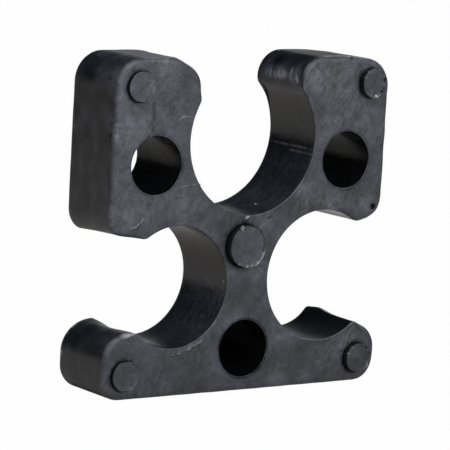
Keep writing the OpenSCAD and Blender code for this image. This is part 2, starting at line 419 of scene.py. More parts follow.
OUTLINE_STEP = 0.18  # distance between the outline's points, in mm
ROUND_RINGS = 7  # rings of points round each rounded edge
WALL_RINGS = 20  # rings of points between the two edges
HOLE_TURN = -np.linspace(0, 2 * np.pi, 144, endpoint=False)  # clockwise, as holes run
HOLE_CIRCLE = np.stack([np.cos(HOLE_TURN), np.sin(HOLE_TURN)], 1)
CREST_ROUND = 0.25  # rounding where a saddle breaks out, in mm
MOAT_DEEP = 0.3  # depth of the moats round the pads, in mm
MOAT_LEAST = 0.003  # width of a moat where it is narrowest, in mm
# SHADED and DEEP_SHADE are copies of the plastic with less reflection: painted shade
SATIN, SHADED, DEEP_SHADE = 0, 1, 2  # the plate's finishes


def plate_layout(s):
    """Places of the plate's features in mm: x across, z up from the foot."""
    hw, hf, top = s.width / 2, s.foot_width / 2, TOP_Z
    mouth_l, mouth_r = -10.85, 9.25  # the two lips of the top saddle's mouth
    under_l, under_r = 25.3, 27.7  # the undersides of the two blocks
    saddles = {
        "top": np.array([-0.15, 42.1, s.top_saddle / 2]),
        "left": np.array([-14.15, 18.2, s.left_saddle / 2]),
        "right": np.array([15.35, 18.8, s.right_saddle / 2]),
    }
    blocks = {
        "left": [[5 - hw, top - 5, 5], [mouth_l - 5.6, top - 2, 2],
                 [mouth_l - 4, top - 1.1 - 4, 4], [3 - hw, under_l + 1.6 + 3, 3],
                 [mouth_l - 2.2, under_l + 2.2, 2.2]],
        "right": [[hw - 4.9, top - 0.4 - 4.9, 4.9], [hw - 9, top - 2, 2],
                  [mouth_r + 4, top - 4, 4], [hw - 4.5, under_r + 4.5, 4.5],
                  [mouth_r + 2.4, under_r + 2.4, 2.4]],
        "foot": [[3.9 - hf, 3.9, 3.9], [4.9 - hf, 11.1 - 4.9, 4.9], [hf - 3.9, 3.9, 3.9],
                 [hf - 4, 9.8 - 4, 4], [hf - 6.8, 11.2 - 2.2, 2.2]],
    }
    bores = np.array([[-19.1, 38.3], [19.1, 38.3], [0, 7.2]])
    return saddles, blocks, bores


def pad_places():
    """Each pad's x, z, radius, moat width all round, extra moat width on one side, the angle
    of that side, and the seed of its rim."""
    pads = bpy.context.scene.rebar_pads
    r = pads.corner / 2
    return {
        "upper_left": (-22.95, 51.1, r, 0.0, 0.07, 3.0, 3),
        "lower_left": (-23.4, 4.15, r, 0.02, 0.07, 3.1, 5),
        "upper_right": (23.55, 51.3, r, 0.02, 0.03, 0.2, 7),
        "lower_right": (23.6, 4.2, r, 0.05, 0.08, 3.1, 9),
        "gate": (-0.95, 24.55, pads.gate / 2, 0.10, 0.08, 3.1, 11),
    }


def chalk_field(x, z):
    """Share of chalky bloom on the faces, with painted light and shade in it: clouds of four
    sizes, calmer on the foot, a painted brightening towards the top left, the paler and darker
    areas of this casting with painted light and shade among them, and painted shade along the
    weld line below the upper left pad and along the faint ledge beside it."""
    soft = cloud(x, z, 4.5, 1) * 0.75 + cloud(x, z, 2.2, 2, tall=1.5, lean=-0.5) * 0.45
    soft = soft + cloud(x, z, 1.1, 3) * 0.3
    soft = soft * (1 - 0.35 * plateau(z, 0, 9))
    share = 0.42 + 0.105 * soft + 0.035 * np.clip(soft, 0, 3) ** 2 + 0.03 * cloud(x, z, 0.6, 4)
    # painted light: brighter towards the top and towards the left
    share += 0.0032 * (z - 28) - 0.0012 * x
    # painted shade: the weld line as a dark line, with a wider shade beside it
    weld = 0.65 * hump(x, -20.15, 0.4) + 0.2 * hump(x, -19.3, 0.9)  # a line and its shade
    weld = weld * plateau(z, 46, 2.7)
    # painted shade along a faint ledge
    ledge = hump(z + 0.08 * x, 46.7, 0.22) * plateau(x, -17.5, 3)
    return share - weld - 0.10 * ledge + spots(x, z, FACE_BLOOM_AND_PAINTED_LIGHT)


def plate_outline(s):
    """Closed outline of the plate, counter-clockwise: each block's hull outside the saddles,
    joined by the saddles' arcs, and then softened. Also tells, per point, how far it belongs
    to a saddle, and how near it is to a crest where a saddle breaks out, closely and widely."""
    saddles, blocks, _ = plate_layout(s)
    top, left, right = saddles["top"], saddles["left"], saddles["right"]
    foot = outside_run(disc_hull(blocks["foot"]), [left, right], np.array([0.0, 0.0]))
    block_r = outside_run(disc_hull(blocks["right"]), [top, right], np.array([40.0, 42.0]))
    block_l = outside_run(disc_hull(blocks["left"]), [top, left], np.array([-40.0, 42.0]))
    parts = [foot, saddle_arc(right, foot[-1], block_r[0]), block_r,
             saddle_arc(top, block_r[-1], block_l[0]), block_l,
             saddle_arc(left, block_l[-1], foot[0])]
    kind = np.concatenate([np.full(len(p), k % 2, float) for k, p in enumerate(parts)])
    rough = np.vstack(parts)
    run = run_along(np.vstack([rough, rough[:1]]))
    loop = resample(rough, OUTLINE_STEP)
    at = np.arange(len(loop)) * run[-1] / len(loop)
    saddle = np.interp(at, run, np.r_[kind, kind[:1]])
    edge = np.abs(np.roll(saddle, -1) - np.roll(saddle, 1)) > 0.25
    loop = ring_blur(loop, 0.45 / OUTLINE_STEP)
    saddle, crest, wide = (ring_blur(values, reach / OUTLINE_STEP) for values, reach in
                           ((saddle, 0.6), (edge.astype(float), 0.9), (edge.astype(float), 2.2)))
    return loop, saddle, crest / crest.max(), wide / wide.max()


def rounded_profile(front, rear, thickness, lap, rear_deep):
    """Section through the wall, from the front face to the rear face, for each outline point:
    a short lap on the face, a quarter circle, a straight wall and a quarter ellipse, rear high
    and rear_deep long. With a from 0 to pi / 2, the circle is front * (1 - sin a) in and
    front * (1 - cos a) back. Returns arrays of shape (rings, points): how far in, how far
    back from the front face, and how far round the corner (0 on the faces, 1 on the wall)."""
    turn = np.linspace(0, 1, ROUND_RINGS)[:, None]
    quarter = turn * np.pi / 2
    wall = np.linspace(0, 1, WALL_RINGS + 2)[1:-1, None]
    back = quarter[::-1]
    inset = [front + lap, front * (1 - np.sin(quarter)), 0 * wall * front,
             rear * (1 - np.sin(back)), rear + lap]
    depth = [0 * front, front * (1 - np.cos(quarter)),
             front + wall * (thickness - front - rear_deep),
             thickness - rear_deep * (1 - np.cos(back)), thickness + 0 * rear]
    share = [0 * front, turn + 0 * front, 1 + 0 * wall * front, turn[::-1] + 0 * front,
             0 * front]
    return np.vstack(inset), np.vstack(depth), np.vstack(share)


def skin_band(loop, inset, depth):
    """Carries a section along a closed loop: place = loop - inset * normal, and depth back
    from the front face."""
    return on_front(loop[None] - inset[..., None] * outward(loop)[None], -depth)


def wall_waves(loop, depth, saddle, size):
    """Shallow sink waves of the walls, in mm inwards and never outwards: long waves along
    the outline and through the depth, size * (0.6 + 0.6 * wave), calm in the saddles and
    none where the foot stands."""
    run = run_along(loop) + 0 * depth
    stand = np.clip(loop[:, 1] / 1.5, 0, 1) ** 2
    wave = cloud(run, depth, 6.0, 21) + 0.4 * cloud(run, depth, 3.5, 22)
    return size * (1 - 0.75 * saddle) * stand * np.clip(0.6 + 0.6 * wave, 0, 2.2)


def rear_swell(loop, depth):
    """Local swellings of the rear edges, in mm outwards, that grow with the square of the
    depth, and on the foot's lobes a bump in the right crest and a sag in the left one."""
    x, z = loop.T
    swell = spots(x, z, REAR_SWELLINGS)
    room = np.clip(TOP_Z - z - 0.02, 0, 1)
    swell = np.minimum(swell, np.where(z > 50, room, 1)) * (depth / depth.max()) ** 2
    bump = spots(x, z, CREST_BUMP) * hump(depth, 10.2, 2.2)
    sag = spots(x, z, CREST_SAG) * hump(depth, 7.0, 3.2)
    return swell + bump - sag


def edge_nicks(loop, depth):
    """Small dents in the front edge, in mm inwards: soft spots that die out with depth."""
    return spots(*loop.T, FRONT_NICKS) * hump(depth, 0, 0.9)


def worn_edges(loop, depth, share):
    """Broken pale lines on the rounded edges, from 0 up: wear with painted highlight on the front
    edges and painted glints on the rear ones, cut up by two random runs along the outline, on the
    middle of the rounding."""
    x, z = loop.T
    rng = np.random.default_rng(31)
    broken = np.clip(0.45 + 2.0 * ring_blur(rng.normal(0, 1, len(loop)), 6.0), 0, 1)
    fine = np.clip(0.4 + 2.0 * ring_blur(rng.normal(0, 1, len(loop)), 1.6), 0, 1)
    rounding = 4 * share * (1 - share)
    # wear and painted highlight along the front edges, faint on all of them
    front = (spots(x, z, FRONT_EDGE_WEAR_AND_HIGHLIGHT) + 0.10) * broken * (0.4 + 0.6 * fine)
    left_glint_line = hump(depth, 12.35, 0.22) * (x < -20)  # on the wall, just before the rear edge
    rear_glint_band = np.maximum(rounding * (depth > 10), left_glint_line)
    # painted glints along the rear edges
    rear = spots(x, z, REAR_EDGE_GLINTS) * np.clip(fine * (2 * broken + 0.6 * (x < -20)), 0, 1)
    return front * rounding * (depth < 2) * FRONT_WEAR_AND_HIGHLIGHT + rear * rear_glint_band * REAR_GLINT


def wall_marks(loop, depth, share, saddle):
    """Two marks on the walls. Chalk, from 0 to 1.6: smears that follow the draw direction, in
    the scuffed places of the walls, with painted sheen in the saddles, by the front and on the
    tops, and painted highlight streaks on the lobe by the top saddle's mouth. Worn, from 0 to 1:
    the edges' wear and painted glints, two scratches along the top saddle, the painted highlight
    on that lobe and painted glints on the crown."""
    x, z = loop.T
    # scuffs with a painted highlight: pale streaks on the lobe by the top saddle's mouth
    mouth_scuffs_and_highlight = spots(depth + 0 * x, z + 0 * depth, MOUTH_SCUFF_HIGHLIGHTS) * hump(x, 9.6, 2.4)
    run = run_along(loop) + 0 * depth
    smears = cloud(depth, run, 1.6, 33, 40, tall=1.6)
    patches = cloud(depth, run, 2.4, 34, tall=1.4)
    outer = 0.11 + 0.05 * np.clip(smears, -1.5, 2.5) + 0.08 * np.clip(patches, -1.3, 2.2)
    outer = outer * (1 - 0.45 * hump(z, 8, 6))
    # painted sheen in the saddles and by the front, over the walls' chalky smears
    chalk_and_painted_light = outer * (1 - saddle) + 0.03 * saddle + spots(x, z, SMEARS_AND_SHEEN_RIGHT_THROUGH)
    chalk_and_painted_light = chalk_and_painted_light + spots(x, z, SMEARS_AND_SHEEN_BY_FRONT) * hump(depth, 0, 5.5) + mouth_scuffs_and_highlight
    crown = z > CROWN_Z
    # painted sheen on the tops of the blocks
    chalk_and_painted_light = chalk_and_painted_light + plateau(depth, 9.8, 1.8) * crown * spots(x, z, RIGHT_CROWN_SHEEN)
    chalk_and_painted_light = chalk_and_painted_light + plateau(depth, 9.0, 3.2) * spots(x, z, LEFT_CROWN_SHEEN)

    scratches = sum(strength * hump(z, at, reach) * (depth < deep)
                    for at, reach, strength, deep in SADDLE_SCRATCHES)
    broken = np.clip(0.7 + 0.3 * cloud(depth, run, 1.6, 35), 0, 1)
    # breaks up the painted highlight on the mouth lobe
    rubbed = np.clip(0.7 + 0.5 * cloud(depth, run, 0.6, 36, tall=3), 0, 1.3)
    flecks_and_glints = sum(strength * plateau(x, at, reach) for at, reach, strength in CROWN_GLINTS)
    # wear with painted glints and highlights: the edges, the mouth lobe and the crown
    wear_and_glints = worn_edges(loop, depth, share)
    wear_and_glints = wear_and_glints + 0.45 * scratches * broken * saddle * (x > 5) * (share > 0.9)
    wear_and_glints = wear_and_glints + 0.85 * np.clip(mouth_scuffs_and_highlight - 0.6, 0, 1.5) * rubbed
    wear_and_glints = wear_and_glints + 0.3 * plateau(depth, 10.2, 1.7) * crown * share * flecks_and_glints
    return np.clip(chalk_and_painted_light, 0, 1.6) * share, np.clip(wear_and_glints, 0, 1)


def gloss_along(loop, saddle):
    """How far the walls are polished, from 0 to 1: the saddles down to their floors, and the
    left one and the left end of the top one less than the rest."""
    x, z = loop.T
    floor = np.clip((z - 8.3) / 3 + 0.5 * np.clip((-13 - x) / 2, 0, 1), 0.1, 1)
    return saddle * floor * (1 - spots(x, z, DULLER_WALLS))


def scratch_field(x, z):
    """Share of pale rubbed strokes on the front face, where this casting is scratched."""
    return spots(x, z, FACE_SCRATCHES)


def face_grid(loops, pitch):
    """Points of a jittered grid that lie in a face, clear of all its loops."""
    low, high = loops[0].min(0), loops[0].max(0)
    u, v = np.meshgrid(np.arange(low[0], high[0], pitch), np.arange(low[1], high[1], pitch))
    u = u + (np.arange(len(u)) % 2)[:, None] * pitch / 2
    rng = np.random.default_rng(51)
    points = np.stack([u.ravel(), v.ravel()], 1) + rng.uniform(-0.12, 0.12, (u.size, 2)) * pitch
    points = points[inside(points, loops[0])]
    for hole in loops[1:]:
        points = points[~inside(points, hole)]
    rim = np.vstack(loops)
    clear = [np.min((block[:, :1] - rim[:, 0]) ** 2 + (block[:, 1:] - rim[:, 1]) ** 2, axis=1)
             for block in np.array_split(points, 1 + len(points) // 800)]
    return points[np.concatenate(clear) > (0.6 * pitch) ** 2]


def fill_between(loops, extra):
    """Triangles that fill a flat region between an outer loop and its holes, through some
    extra points, by a constrained Delaunay triangulation; those outside are dropped."""
    points = np.vstack(loops + [extra])
    sizes = np.array([len(p) for p in loops])
    first = np.repeat(np.r_[0, np.cumsum(sizes)[:-1]], sizes)
    size = np.repeat(sizes, sizes)
    index = np.arange(sizes.sum())
    edges = np.stack([index, first + (index - first + 1) % size], 1)
    made = delaunay_2d_cdt([Vector(p) for p in points.tolist()], edges.tolist(), [], 0, 1e-6)
    place = np.array([tuple(v) for v in made[0]])
    tris = np.array([f for f in made[2] if len(f) == 3])
    back = np.array([o[0] if o else -1 for o in made[3]])
    for lost in np.flatnonzero(back < 0):
        back[lost] = np.argmin(np.hypot(*(points - place[lost]).T))
    middle = place[tris].mean(1)
    keep = inside(middle, loops[0])
    for hole in loops[1:]:
        keep &= ~inside(middle, hole)
    tris = back[tris[keep]]
    a, b, c = points[tris[:, 0]], points[tris[:, 1]], points[tris[:, 2]]
    area = (b - a)[:, 0] * (c - a)[:, 1] - (b - a)[:, 1] * (c - a)[:, 0]
    tris[area < 0] = tris[area < 0][:, ::-1]
    return tris[np.abs(area) > 1e-7]


def face_relief(x, z):
    """Height of the front face's shallow relief, in mm outwards: sink waves and swirls."""
    relief = 0.014 * cloud(x, z, 4.5, 61) + 0.010 * cloud(x, z, 1.6, 62)
    relief += 0.005 * cloud(x, z, 0.8, 63)
    relief += 0.022 * spots(x, z, FACE_SWIRLS) * cloud(x, z, 0.9, 64, tall=0.5)
    return np.clip(relief, -0.2, 0.09)


class Skin:
    """The plate's closed skin as it grows: vertices in mm, faces with their finish, the
    marks of every vertex, and the rims between which the front and rear faces are filled."""

    def __init__(self):
        self.verts, self.faces, self.finishes, self.count = [], [], [], 0
        self.marks = {"wall": [], "chalk_and_painted_light": [], "wear_and_glints": [], "gloss": []}
        self.rims = {"front": [], "rear": []}

    def add(self, verts, faces, finish, *marks):
        """Adds vertices, faces that count from the skin's first vertex, their finish, and
        the four marks."""
        self.verts.append(verts)
        self.faces += faces
        self.finishes.append(np.zeros(len(faces), np.int32) + finish)
        for values, mark in zip(self.marks.values(), marks):
            values.append(np.ravel(mark))
        self.count += len(verts)

    def add_band(self, loop, inset, depth, finish, *marks, blind=False):
        """Adds a section carried along a loop, from its rim in the front face to its rim in
        the rear one, or to a floor if it is blind."""
        band = skin_band(loop, inset, depth)
        rings, points = inset.shape
        last = self.count + (rings - 1) * points
        faces = band_faces(rings, points, self.count, flip=True)
        self.rims["front"].append((band[:points, [0, 2]], self.count))
        if blind:
            faces.append(list(range(last, last + points))[::-1])
        else:
            self.rims["rear"].append((band[-points:, [0, 2]], last))
        self.add(band, faces, finish, *marks)


def add_outer_wall(skin, s):
    """The band along the outline. The lips of the saddles are tighter than the outer edges,
    and tightest at the crests where a saddle breaks out."""
    loop, saddle, crest, wide = plate_outline(s)
    x, z = loop.T
    front = s.front_round * (1 + 0.05 * cloud(x, z, 3.0, 41))
    front = front * (1 - spots(x, z, TIGHT_ROUNDING))
    front = front + (s.lip_round - front) * saddle
    front = front * (1 - crest) + CREST_ROUND * crest
    rear = s.rear_round + (s.saddle_ease - s.rear_round) * saddle
    rear = rear * (1 - wide) + CREST_ROUND * wide
    rear_deep = rear + spots(x, z, LONG_REAR_EASING) * saddle
    lap = 0.08 * (1 - wide) + 0.02
    inset, depth, share = rounded_profile(front, rear, s.thickness, lap, rear_deep)
    # smears holds the walls' chalk mark, smears with painted sheen and highlights in it
    smears, wear_and_glints = wall_marks(loop, depth, share, saddle)
    inset = inset + wall_waves(loop, depth, saddle, s.wave) + edge_nicks(loop, depth)
    inset = inset - rear_swell(loop, depth) * share
    # painted shade: the eased edge behind the top saddle's mouth takes the deep shaded plastic
    eased = (saddle > 0.3) & (x > 8) & (z > 43) & (z < 50.6)
    rear_rings = np.arange(len(inset) - 1)[:, None] > ROUND_RINGS + WALL_RINGS
    finish = np.where(eased & rear_rings, DEEP_SHADE, SATIN).ravel()
    skin.add_band(loop, inset, depth, finish, share, smears, wear_and_glints,
                  share * gloss_along(loop, saddle))


def add_bores(skin, s):
    """A band down each of the three bores, with small eased ends, worn front rims that are partly
    painted highlight, and shaded copies of the plastic as painted shade.
    """
    for centre, finish in zip(plate_layout(s)[2], (SHADED, SHADED, DEEP_SHADE)):
        lip = 0.15 + 0.03 * smooth_noise(HOLE_TURN, int(40 + centre[0]))
        inset, depth, share = rounded_profile(lip, lip * 2, s.thickness, 0.25, lip * 2)
        # wear and painted highlight on the bores' front rims
        wear_and_glints = 0.22 * 4 * share * (1 - share) * (depth < 1)
        wear_and_glints = wear_and_glints * np.clip(smooth_noise(HOLE_TURN, 77) + 0.5, 0, 1)
        skin.add_band(centre + s.bore / 2 * HOLE_CIRCLE, inset, depth, finish,
                      share, 0 * share, wear_and_glints, 0.5 * share)


def add_wells(skin):
    """The moats round the pads and the small pits: blind holes with a sharp rim."""
    wells = []
    for x, z, radius, slim, extra, side, seed in pad_places().values():
        moat = extra * np.clip(np.cos(HOLE_TURN - side), 0, 1)
        moat = slim + moat * (1 + 0.5 * smooth_noise(HOLE_TURN, seed))
        wells.append((x, z, radius, moat, MOAT_DEEP))
    for x, z, radius, ragged, deep, seed in PITS:
        wells.append((x, z, radius, ragged * smooth_noise(HOLE_TURN, seed), deep))
    for x, z, radius, wider, deep in wells:
        reach = radius + np.maximum(wider, MOAT_LEAST)
        rim = np.array([x, z]) + reach[:, None] * HOLE_CIRCLE
        depth = np.array([0.0, 0.04, deep, deep])[:, None] + 0 * HOLE_TURN
        inset = -np.array([0.0, 0.02, 0.04, 0.3 * radius])[:, None] + 0 * HOLE_TURN
        wall = np.array([0.0, 1.0, 1.0, 1.0])[:, None] + 0 * HOLE_TURN
        skin.add_band(rim, inset, depth, SATIN, wall, 0.1 * (1 - wall), 0 * wall, 0 * wall,
                      blind=True)


def add_faces(skin, s):
    """The front and rear faces, filled between their rims through a grid of points, which
    carry the shallow relief. The rear one is plainer and coarser."""
    for side, pitch in (("front", 0.5), ("rear", 0.8)):
        rims = [rim for rim, _ in skin.rims[side]]
        x, z = face_grid(rims, pitch).T
        index = [np.arange(len(rim)) + at for rim, at in skin.rims[side]]
        index = np.concatenate(index + [np.arange(len(x)) + skin.count])
        tris = index[fill_between(rims, np.stack([x, z], 1))]
        relief = face_relief(x, z)
        if side == "front":
            y, wear_and_glints = front_y() - relief, scratch_field(x, z)
        else:
            y, wear_and_glints = front_y() + s.thickness + (0.3 * relief - 0.03), 0 * x
            tris = tris[:, ::-1]
        skin.add(np.stack([x, y, z], 1), tris.tolist(), SATIN, 0 * x, chalk_field(x, z), wear_and_glints,
                 0 * x)


def build_plate(s):
    """The plate's closed skin: the wall along the outline, the bores, the moats round the
    pads, the pits, and the two faces filled between them. Returns the piece and the finish
    of every face."""
    skin = Skin()
    add_outer_wall(skin, s)
    add_bores(skin, s)
    add_wells(skin)
    add_faces(skin, s)
    verts = np.vstack(skin.verts)
    marks = {key: np.concatenate(values) for key, values in skin.marks.items()}
    wall = marks["wall"]
    # painted highlight: the (1 + 0.5 * wall) term keeps the chalk up on the rounded edges, a pale
    # band along them
    bloom = chalk_field(verts[:, 0], verts[:, 2]) * (1 - wall ** 2) * (1 + 0.5 * wall)
    marks["chalk_and_painted_light"] = np.maximum(marks["chalk_and_painted_light"], bloom)
    return make_piece("chair_plate", verts, skin.faces, marks), np.concatenate(skin.finishes)


# ---------------------------------------------------------------- pads and flash

# Rings of a pad's section, from its foot in the moat over the rim to near the middle of the
# top. Each one: share of the radius, mm further in, share of the height, mm more, and then how
# much the ring takes part in the torn rim, in a chip's groove, in the rest of a chip, in the
# whitened flecks with their painted glints and in the look of a wall.
PAD_RINGS = np.array([
    (1.0, 0.00, 0.0, -0.25, 0.0, 0, 0.0, 0.00, 1.0),
    (1.0, 0.00, 0.0, 0.00, 0.0, 0, 0.0, 0.00, 1.0),
    (1.0, 0.00, 0.4, 0.00, 0.2, 0, 0.0, 0.00, 1.0),
    (1.0, 0.01, 1.0, -0.12, 0.8, 0, 0.0, 0.60, 1.0),
    (1.0, 0.03, 1.0, -0.04, 1.0, 0, 1.0, 1.00, 0.7),
    (1.0, 0.07, 1.0, 0.00, 1.0, 0, 1.0, 1.00, 0.2),
    (1.0, 0.17, 1.0, 0.00, 0.6, 1, 0.0, 1.00, 0.0),
    (1.0, 0.33, 1.0, -0.01, 0.1, 0, 1.0, 0.55, 0.0),
    (0.8, 0.00, 1.0, -0.02, 0.0, 0, 0.4, 0.00, 0.0),
    *((share, 0, 1.0, -0.02, 0, 0, 0, 0, 0) for share in (0.7, 0.6, 0.48, 0.36, 0.24, 0.12))])


def angle_gap(angle, at):
    """How far angles lie from another one, from -pi to pi."""
    return np.angle(np.exp(1j * (angle - at)))


def pad_surface(name, height, ragged=0.04, burr=0.0, torn=(0.0, 0.0), bloom=(0.0, 0.0),
                tone=0.0, chips=(), flecks_and_glints=()):
    """A round pad: the rings of its section turned about its axis, x = cx + radius * cos a
    and z = cz + radius * sin a. The rim wanders a little, and stands up in a torn burr,
    whitened, round the angle torn[0] over the spread torn[1].
    One side of the top, towards the angle bloom[0], gets a painted highlight
    of chalk, bloom[1], and all of it is chalkier by tone. The rim has chips, each
    given by its angle, half width and how far it reaches past a thin groove (0 to 1), and
    whitened flecks with painted glints, by angle, half width and strength."""
    x, z, r, _, _, _, seed = pad_places()[name]
    share, inwards, up, more, rim, groove, chip, fleck_and_glint, wall = PAD_RINGS.T[..., None]
    angle = np.linspace(0, 2 * np.pi, 120, endpoint=False)
    count = len(angle)
    wave = smooth_noise(angle, seed)
    rng = np.random.default_rng(seed + 40)
    grit = np.clip(ring_blur(rng.normal(0, 1, count), 0.8), -1.5, 1.5)
    tear = hump(angle_gap(angle, torn[0]), 0, max(torn[1], 1e-3)) * (torn[1] > 0)
    sunk, white = np.zeros((2, len(rim), count))
    for at, half, inner in chips:
        hit = plateau(angle_gap(angle, at), 0, half)
        sunk = np.maximum(sunk, (groove + inner * chip) * hit)
    for at, half, strength in flecks_and_glints:
        hit = strength * hump(angle_gap(angle, at), 0, half)
        white = np.maximum(white, fleck_and_glint * hit)

    radius = r * share - inwards
    radius = radius + ragged * wave[None] * (radius > r * 0.85) + 0.07 * rim * tear * grit
    up = height * up + more + burr * rim * tear * (0.6 + 0.5 * grit)
    up = np.minimum(up, min(height + burr, ROOM_BEFORE_FRONT - 0.01)) - 0.5 * sunk
    place = np.stack([x + radius * np.cos(angle), z + radius * np.sin(angle)], -1)
    verts = np.vstack([on_front(place, up), [[x, front_y() - height + 0.02, z]]])
    last, i = (len(rim) - 1) * count, np.arange(count)
    faces = band_faces(len(rim), count)
    faces += np.stack([last + i, last + (i + 1) % count, 0 * i + len(verts) - 1], 1).tolist()
    faces.append(i[::-1].tolist())

    def per_vertex(rings, middle=0.0):
        """A value for every vertex, the last of which is the middle of the top."""
        return np.r_[(rings + 0 * angle).ravel(), middle]

    wall = per_vertex(wall)
    # painted highlight: one side of the top paler
    towards = 0.35 + 0.65 * (radius / r) * np.cos(angle - bloom[0])
    soft = per_vertex(bloom[1] * np.clip(towards, 0, 1) ** 2, 0.12 * bloom[1])
    chalk_and_painted_light = (chalk_field(verts[:, 0], verts[:, 2]) + tone + soft) * (1 - wall) ** 1.5
    chalk_and_painted_light = chalk_and_painted_light * (1 - per_vertex(sunk))
    # whitened torn rim and flecks, with painted glints among them
    wear_and_glints = per_vertex(np.maximum(rim * tear * np.clip(0.45 + 0.5 * grit, 0, 1), white))
    return verts, faces, {"wall": wall, "wear_and_glints": wear_and_glints, "chalk_and_painted_light": np.clip(chalk_and_painted_light, 0, 1)}


def smooth_path(points, count):
    """A smooth path through some points (x, z): count parameters from 0 to 1, the places
    there, and the unit normals to the path's left."""
    points = np.asarray(points, float)
    t = np.linspace(0, 1, count)
    knots = np.linspace(0, 1, len(points))
    degree = min(len(points) - 1, 3)
    path = [np.polyval(np.polyfit(knots, points[:, k], degree), t) for k in (0, 1)]
    path = np.stack(path, 1)
    along = np.gradient(path, axis=0)
    along /= np.hypot(*along.T)[:, None]
    return t, path, np.stack([-along[:, 1], along[:, 0]], 1)


def ragged_run(t, rng, low, high, count):
    """A random run along t: count draws between low and high, joined by straight lines."""
    return np.interp(t, np.linspace(0, 1, count), rng.uniform(low, high, count))


def hairline_surface(points, width, height, seed, paleness):
    """A fine raised mark on the front face: an arched section, height * swell * (1 - s^2) for
    s from -1 to 1 across, carried along a smooth path through the points. Its width and
    swell wander and die out at both ends, and it follows the face's relief."""
    t, path, left = smooth_path(points, 48)
    rng = np.random.default_rng(seed)
    swell = ragged_run(t, rng, 0.35, 1, 14) * np.sin(np.pi * t) ** 0.5
    path = path + left * ragged_run(t, rng, -1, 1, 12)[:, None] * width * 0.12
    across = np.linspace(-1, 1, 7)
    sideways = left[:, None] * (across[:, None] * width / 2)[None]
    place = path[:, None] + sideways * (0.3 + 0.7 * swell)[:, None, None]
    arch = swell[:, None] * (1 - across ** 2)
    x, z = place[..., 0], place[..., 1]
    verts = on_front(place, height * arch - 0.002 + face_relief(x, z))
    wear_and_glints = paleness * np.clip(arch, 0, 1)
    faces = strip_faces(len(t), len(across))
    return verts, faces, {"wear_and_glints": wear_and_glints.ravel(), "chalk_and_painted_light": chalk_field(x, z).ravel()}


def strip_faces(rows, columns):
    """Faces of a closed strip: its upper skin of rows by columns, a flat underside between
    its two edges, and both ends."""
    i = (np.arange(rows - 1)[:, None] * columns + np.arange(columns - 1)[None]).ravel()
    top = np.stack([i, i + columns, i + columns + 1, i + 1], 1)
    e = np.arange(rows - 1) * columns
    under = np.stack([e + columns - 1, e + 2 * columns - 1, e + columns, e], 1)
    ends = [list(range(columns)), list(range(rows * columns - 1, (rows - 1) * columns - 1, -1))]
    return top.tolist() + under.tolist() + ends


# Across the lap, from its flush side to its ragged one: place (-1 to 1), share of its height,
# paleness as a painted highlight along its raised edge, and look of a wall
LAP_SECTION = np.array([
    (-1.0, -0.004, 0.00, 0), (-0.6, 0.1, 0.05, 0), (-0.2, 0.3, 0.12, 0), (0.2, 0.6, 0.20, 0),
    (0.6, 0.9, 0.32, 0), (0.85, 1.0, 0.30, 0), (1.0, 0.8, 0.00, 1), (1.02, -0.1, 0.00, 1)])


def lap_surface(points, width, height, seed, keep_off):
    """A lap of skin where two flows met: a strip along a smooth path through the points that
    starts flush at its left side, rises to the right and drops off there, in ragged lobes.
    It stays outside the disc keep_off (x, z, radius), the saddle's mouth."""
    t, path, left = smooth_path(points, 90)
    rng = np.random.default_rng(seed)
    lobes = (ragged_run(t, rng, 0.15, 1, 22) * np.sin(np.pi * t) ** 0.5)[:, None]
    across, rise, pale, wall = LAP_SECTION.T
    reach = np.where(across > 0, across * (0.25 + 0.75 * lobes), across)
    place = path[:, None] - left[:, None] * (reach * width / 2)[..., None]
    gap = place - keep_off[:2]
    far = np.maximum(np.hypot(gap[..., 0], gap[..., 1]), 1e-6)
    place = keep_off[:2] + gap * np.maximum(1, keep_off[2] / far)[..., None]
    verts = on_front(place, np.where(rise > 0, height * rise * lobes + 0.003, rise * 0.5))
    faces = [face[::-1] for face in strip_faces(len(t), len(across))]
    wall = (wall + 0 * lobes).ravel()
    chalk_and_painted_light = chalk_field(verts[:, 0], verts[:, 2]) * (1 - wall)
    # pale: painted highlight along the lap's raised edge
    return verts, faces, {"wear_and_glints": (pale * lobes).ravel(), "chalk_and_painted_light": chalk_and_painted_light, "wall": wall}


def crumb_surface(x, y, z, size, seed):
    """A crumb of torn plastic: a small sphere whose radius wanders with its two angles,
    size * (1 + 0.45 * sin(3u + p) * cos v + 0.3 * sin(5u + 4v)), stretched at random."""
    rows, columns = 7, 14
    u, v = np.meshgrid(np.linspace(0, 2 * np.pi, columns, endpoint=False),
                       np.linspace(-1.2, 1.2, rows))
    rng = np.random.default_rng(seed)
    bumps = 0.45 * np.sin(3 * u + rng.uniform(0, 6)) * np.cos(v) + 0.3 * np.sin(5 * u + 4 * v)
    r = size * (1 + bumps)
    stretch = rng.uniform(0.6, 1.5, 3)
    verts = np.stack([x + r * np.cos(u) * np.cos(v) * stretch[0],
                      y + r * np.sin(u) * np.cos(v) * 0.7,
                      z + r * np.sin(v) * stretch[2]], -1).reshape(-1, 3)
    last = (rows - 1) * columns
    ends = [list(range(columns))[::-1], list(range(last, last + columns))]
    return verts, band_faces(rows, columns) + ends


# ---------------------------------------------------------------- finishes

